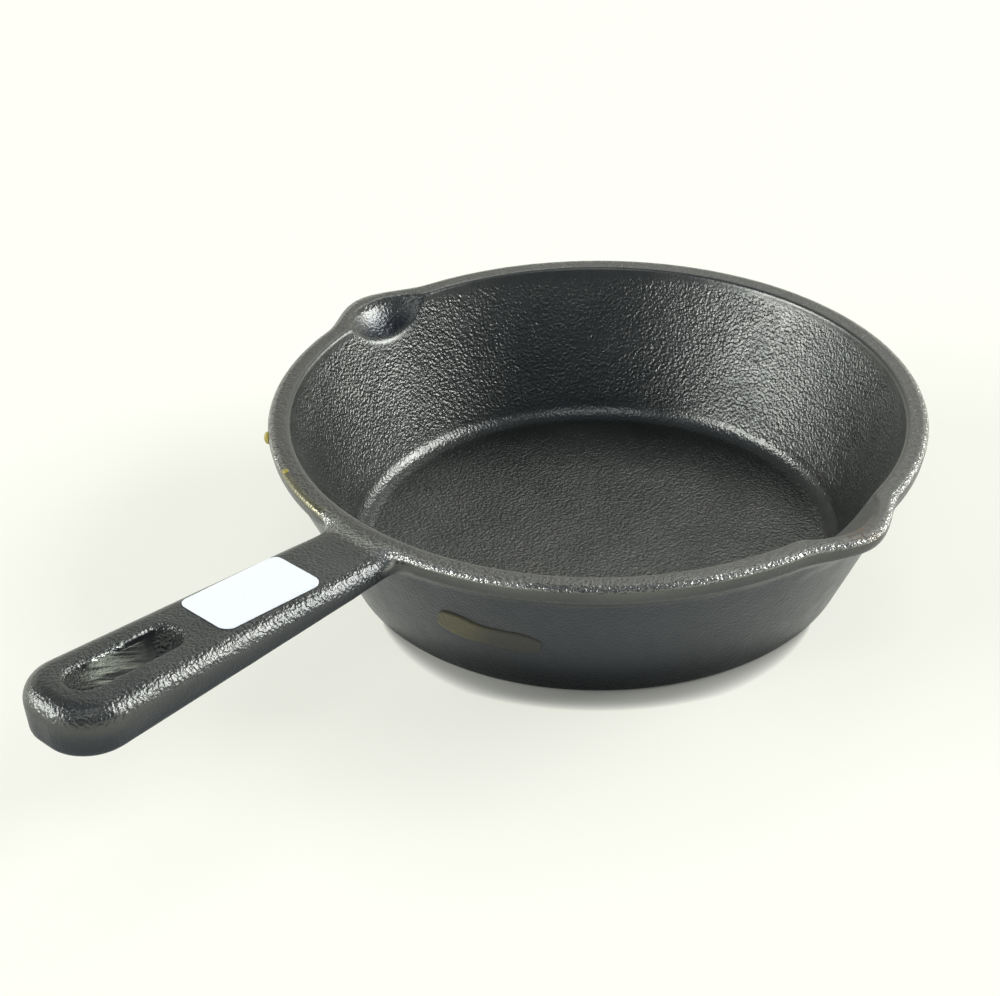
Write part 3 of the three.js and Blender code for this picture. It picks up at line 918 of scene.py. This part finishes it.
def dried_oil():
    """Cooking oil dried to a varnish: olive amber and glossy, browner where the film runs thin. On the run
    the same mark also gives a painted shadow along its upper edge and a painted highlight along its lower
    edge.
    The iron's sand print shows through it."""
    material, tree = new_material("dried cooking oil")
    where = add_node(tree, "ShaderNodeTexCoord", out="Object")
    body_and_edge_light = add_node(tree, "ShaderNodeAttribute", out="Fac", attribute_name="body_and_edge_light")
    blots = add_node(tree, "ShaderNodeTexNoise", {
        "Vector": where, "Scale": 1 / (BLOT_SIZE * MM), "Detail": 2.0})
    uneven = add_node(tree, "ShaderNodeMapRange", {
        "Value": blots, "From Min": 0.3, "From Max": 0.7, "To Min": 0.75, "To Max": 1.0})
    film = add_node(tree, "ShaderNodeMath", {0: body_and_edge_light, 1: uneven}, operation="MULTIPLY")
    colour = linear("24231e")
    for thinnest, thickest, over in ((0.0, 0.5, "4c461d"), (0.5, 1.0, "b3a650")):
        share = add_node(tree, "ShaderNodeMapRange", {
            "Value": film, "From Min": thinnest, "From Max": thickest})
        colour = add_node(tree, "ShaderNodeMix", {
            0: share, 6: colour, 7: linear(over)}, out=2, data_type="RGBA")
    sand = add_node(tree, "ShaderNodeTexNoise", {
        "Vector": where, "Scale": 1 / (OILED_SAND_SIZE * MM), "Detail": 1.0})
    bump = add_node(tree, "ShaderNodeBump", {
        "Strength": OIL_SAND, "Distance": SAND_DEPTH * MM, "Height": sand})
    shader = add_node(tree, "ShaderNodeBsdfPrincipled", {
        "Base Color": colour, "Roughness": OIL_ROUGHNESS, "Specular IOR Level": OIL_SPECULAR, "Normal": bump})
    add_node(tree, "ShaderNodeOutputMaterial", {"Surface": shader})
    return material


# Label and dried oil


def paper_label(material):
    """The label: a thin sheet with rounded corners that follows the handle's top."""
    near_x = LABEL_MIDDLE_X - LABEL_LENGTH / 2 + LABEL_CORNER
    far_x = LABEL_MIDDLE_X + LABEL_LENGTH / 2 - LABEL_CORNER
    corner_y = LABEL_WIDTH / 2 - LABEL_CORNER

    def side(inset):
        radius = LABEL_CORNER - inset
        near = arc(near_x, corner_y, radius, math.pi, math.pi / 2, LABEL_CORNER_STEPS)
        far = arc(far_x, corner_y, radius, math.pi / 2, 0, LABEL_CORNER_STEPS)
        return subdivided(np.concatenate([near, far]), LABEL_STEP)

    top = LABEL_GLUE + LABEL_PAPER
    rings = [
        (side(inset), lambda x, y, lift=lift: handle_surface(x, y) + lift)
        for inset, lift in ((0, LABEL_GLUE), (0, top - LABEL_EDGE), (LABEL_EDGE, top))
    ]
    sheet = mirrored_loft("paper_label_sheet", rings, LABEL_COLUMNS)
    sheet.data.materials.append(material)
    sheet.data.shade_smooth()
    return sheet


def on_wall(azimuth, height, lift):
    """Points on the outer wall at an azimuth in degrees and a height, lifted off it along its normal."""
    turn = np.radians(azimuth)
    radius = outer_radius(height) + lift * math.cos(WALL_FLARE)
    lowered = height - lift * math.sin(WALL_FLARE)
    return np.stack([radius * np.cos(turn), radius * np.sin(turn), lowered], axis=-1)


def through(points, count):
    """A smooth curve through the points, evenly spread over them."""
    points = np.asarray(points, float)
    padded = np.concatenate([2 * points[:1] - points[1:2], points, 2 * points[-1:] - points[-2:-1]])
    at = np.linspace(0, len(points) - 1, count)
    span = np.minimum(at.astype(int), len(points) - 2)
    t = (at - span)[:, None]
    before, here, after, beyond = (padded[span + k] for k in range(4))
    return 0.5 * (2 * here + (after - before) * t + (2 * before - 5 * here + 4 * after - beyond) * t ** 2
                  + (3 * here - before - 3 * after + beyond) * t ** 3)


def oil_run(material):
    """The run of oil that dried on the front of the wall: a heavy end with a raised edge and a thin tail,
    its back sunk into the wall. Its colour mark carries a painted shadow along the upper edge and a
    painted highlight along the lower edge."""
    top = through(RUN_TOP_EDGE, RUN_STATIONS)[:, None]
    low = through(RUN_LOW_EDGE, RUN_STATIONS)[:, None]
    along = np.linspace(0, 1, RUN_STATIONS)[:, None]
    across = np.linspace(0, 1, RUN_COLUMNS)[None]
    azimuth, height = np.moveaxis(moved(low, top, across[..., None]), 2, 0)
    edge = np.abs(2 * across - 1)
    bead = np.sqrt(np.clip(1 - edge ** RUN_EDGE_POWER, 0, 1)) * moved(RUN_MIDDLE, 1, edge ** 2)
    ends = ease(along, 0, RUN_END) * fade(along, 1 - RUN_END, 1)
    thickness = moved(RUN_THICK, RUN_THIN, along) * bead * ends
    front = on_wall(azimuth, height, thickness)
    back = on_wall(azimuth, height, np.full_like(thickness, -RUN_SUNK))
    rings = np.concatenate([front, back[:, ::-1]], axis=1)
    corners = np.arange(rings[..., 0].size).reshape(RUN_STATIONS, -1)
    after = np.roll(corners, -1, axis=1)
    faces = np.stack([corners[:-1], after[:-1], after[1:], corners[1:]], axis=-1).reshape(-1, 4).tolist()
    for ring in (corners[0], corners[-1]):
        for j in range(RUN_COLUMNS - 1):
            faces.append([int(ring[k]) for k in (j, j + 1, -2 - j, -1 - j)])
    run = new_object("oil_run", rings.reshape(-1, 3), faces)
    # The mark carries the oil's body and, along the edges, a painted shadow at the top and a painted
    # highlight at the bottom
    body_and_edge_light = RUN_TINT * fade(along, *RUN_BODY_ENDS) * (1 - RUN_EDGE_SHADOW * ease(across, *RUN_SHADOW_BAND))
    body_and_edge_light = body_and_edge_light + RUN_EDGE_HIGHLIGHT * fade(across, *RUN_HIGHLIGHT_BAND) * (1 - along)
    return oil_finish(run, np.concatenate([body_and_edge_light, body_and_edge_light[:, ::-1]], axis=1).ravel(), material)


def oil_drop(name, azimuth, radius, height, radial, along_rim, upright, material):
    """A drop that dried on the rim: half sunk, longer along the rim, sagging a little."""
    shell = bmesh.new()
    bmesh.ops.create_icosphere(shell, subdivisions=4, radius=1.0)
    ball = np.array([vertex.co for vertex in shell.verts])
    faces = [[vertex.index for vertex in face.verts] for face in shell.faces]
    shell.free()
    turn = math.radians(azimuth)
    out = np.array((math.cos(turn), math.sin(turn), 0))
    aside = np.array((-math.sin(turn), math.cos(turn), 0))
    sag = 1 - DROP_SAG * ball[:, 2:]
    points = out * (radius + radial * sag * ball[:, :1]) + aside * along_rim * sag * ball[:, 1:2]
    points = points + np.array((0, 0, 1)) * (height + upright * ball[:, 2:])
    drop = new_object(name, points, faces)
    return oil_finish(drop, np.ones(len(points)), material)


def oil_finish(piece, body_and_edge_light, material):
    """Outward faces, smooth shading, the mark of the oil's body and painted edge light, and the oil material.
    """
    close_shell(piece)
    write_mark(piece.data, "body_and_edge_light", body_and_edge_light)
    piece.data.materials.append(material)
    piece.data.shade_smooth()
    return piece


# Stage


def pale_floor():
    """A matt pale floor. Part of it glows for camera, glossy and transmission rays, which keeps it white,
    and that glow is shaded close to the base, so that the pan stands on it."""
    sides = ((-1, -1), (1, -1), (1, 1), (-1, 1))
    corners = [(x * FLOOR_REACH, y * FLOOR_REACH, -FLOOR_DROP) for x, y in sides]
    floor = new_object("floor", corners, [(0, 1, 2, 3)])
    material, tree = new_material("ivory paper floor")
    paper = add_node(tree, "ShaderNodeBsdfPrincipled", {
        "Base Color": linear(IVORY), "Roughness": FLOOR_ROUGHNESS, "Specular IOR Level": 0.0})
    where = add_node(tree, "ShaderNodeTexCoord", out="Object")
    # Painted shadow: the glow is darkened by occlusion near the base, furthest on the side away from the
    # given light direction
    along = add_node(tree, "ShaderNodeVectorMath", {
        0: where, 1: PAINTED_SHADE_LIGHT_SIDE}, out="Value", operation="DOT_PRODUCT")
    reach = add_node(tree, "ShaderNodeMapRange", {
        "Value": along, "From Min": SHADE_FULL_AT * MM, "From Max": SHADE_LEAST_AT * MM,
        "To Min": SHADE_REACH * MM, "To Max": SHADE_LEAST * MM})
    facing = add_node(tree, "ShaderNodeCombineXYZ", dict(enumerate(PAINTED_SHADE_LIGHT_SIDE)))
    openness = add_node(tree, "ShaderNodeAmbientOcclusion", {
        "Normal": facing, "Distance": reach}, out="AO", samples=16)
    strength = add_node(tree, "ShaderNodeMapRange", {
        "Value": openness, "From Min": SHADED_OPENNESS[0], "From Max": SHADED_OPENNESS[1],
        "To Min": SHADED_GLOW})
    glow = add_node(tree, "ShaderNodeEmission", {"Color": linear(IVORY), "Strength": strength})
    path = add_node(tree, "ShaderNodeLightPath", out=None)
    seen = path["Is Camera Ray"]
    for ray in ("Is Glossy Ray", "Is Transmission Ray"):
        seen = add_node(tree, "ShaderNodeMath", {0: seen, 1: path[ray]}, operation="MAXIMUM")
    share = add_node(tree, "ShaderNodeMath", {0: seen, 1: FLOOR_GLOW}, operation="MULTIPLY")
    lit = add_node(tree, "ShaderNodeMixShader", {0: share, 1: paper, 2: glow})
    add_node(tree, "ShaderNodeOutputMaterial", {"Surface": lit})
    floor.data.materials.append(material)


def lamps():
    """Soft lamps on both sides, one above and one behind, all turned to the pan."""
    for name, (azimuth, elevation, width, height, radiance) in LAMPS.items():
        lamp = bpy.data.lights.new(name, "AREA")
        lamp.shape = "RECTANGLE"
        lamp.size = width
        lamp.size_y = height
        # An area lamp gives off a quarter of its power per area as radiance
        lamp.energy = 4 * width * height * radiance
        bulb = bpy.data.objects.new(name, lamp)
        bpy.context.scene.collection.objects.link(bulb)
        turn = math.radians(azimuth)
        rise = math.radians(elevation)
        away = Vector((math.cos(rise) * math.cos(turn), math.cos(rise) * math.sin(turn), math.sin(rise)))
        bulb.location = away * LAMP_DISTANCE
        bulb.rotation_euler = away.to_track_quat("Z", "Y").to_euler()


def surround():
    """The world: a pale wall behind the pan, a dark room on the camera's side, an ivory horizon below."""
    world = bpy.data.worlds.new("surround")
    bpy.context.scene.world = world
    world.use_nodes = True
    tree = world.node_tree
    tree.nodes.clear()
    outlook = add_node(tree, "ShaderNodeTexCoord", out="Generated")
    camera_side = Vector((CAMERA_PLACE[0], CAMERA_PLACE[1], 0)).normalized()
    ahead = add_node(tree, "ShaderNodeVectorMath", {
        0: outlook, 1: camera_side}, out="Value", operation="DOT_PRODUCT")
    height = add_node(tree, "ShaderNodeSeparateXYZ", {0: outlook}, out="Z")
    near_side, above, level = (
        add_node(tree, "ShaderNodeMapRange", {
            "Value": value, "From Min": low, "From Max": high, "To Min": at_low, "To Max": at_high,
        }, interpolation_type="SMOOTHSTEP")
        for value, (low, high), at_low, at_high in (
            (ahead, (-1.0, 0.0), 0.0, 1.0),
            (height, HORIZON_FADE, 0.0, 1.0),
            (height, WALL_FADE, LOW_WALL_LEVEL, HIGH_WALL_LEVEL)))
    wall = add_node(tree, "ShaderNodeBackground", {"Color": linear(IVORY), "Strength": level})
    room = add_node(tree, "ShaderNodeBackground", {"Color": linear(ROOM_BLUE), "Strength": ROOM_LEVEL})
    horizon = add_node(tree, "ShaderNodeBackground", {"Color": linear(IVORY)})
    around = add_node(tree, "ShaderNodeMixShader", {0: near_side, 1: wall, 2: room})
    shown = add_node(tree, "ShaderNodeMixShader", {0: above, 1: horizon, 2: around})
    add_node(tree, "ShaderNodeOutputWorld", {"Surface": shown})


def camera():
    """The camera, set where the photograph was taken from and held slightly askew as it was."""
    lens = bpy.data.cameras.new("camera")
    lens.sensor_fit = "HORIZONTAL"
    lens.sensor_width = CAMERA_SENSOR_MM
    lens.lens = CAMERA_LENS_MM
    lens.clip_start = CAMERA_CLIP
    eye = bpy.data.objects.new("camera", lens)
    bpy.context.scene.collection.objects.link(eye)
    ahead = Vector(CAMERA_AIM) - Vector(CAMERA_PLACE)
    level = ahead.to_track_quat("-Z", "Y").to_matrix().to_4x4()
    askew = Matrix.Rotation(-CAMERA_ROLL, 4, "Z")
    eye.matrix_world = Matrix.Translation(CAMERA_PLACE) @ level @ askew
    bpy.context.scene.camera = eye


bpy.context.scene.view_settings.view_transform = "Standard"
camera()
pale_floor()
lamps()
surround()

casting = pan_casting(seasoned_iron())
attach(casting, "root")
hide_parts("pan_casting")

sheet = paper_label(label_paper())
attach(sheet, "root")
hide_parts("paper_label")

oil = dried_oil()
residue = [oil_run(oil)]
for name, measures in DROPS.items():
    residue.append(oil_drop(name, *measures, oil))
for drop in residue:
    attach(drop, "root")
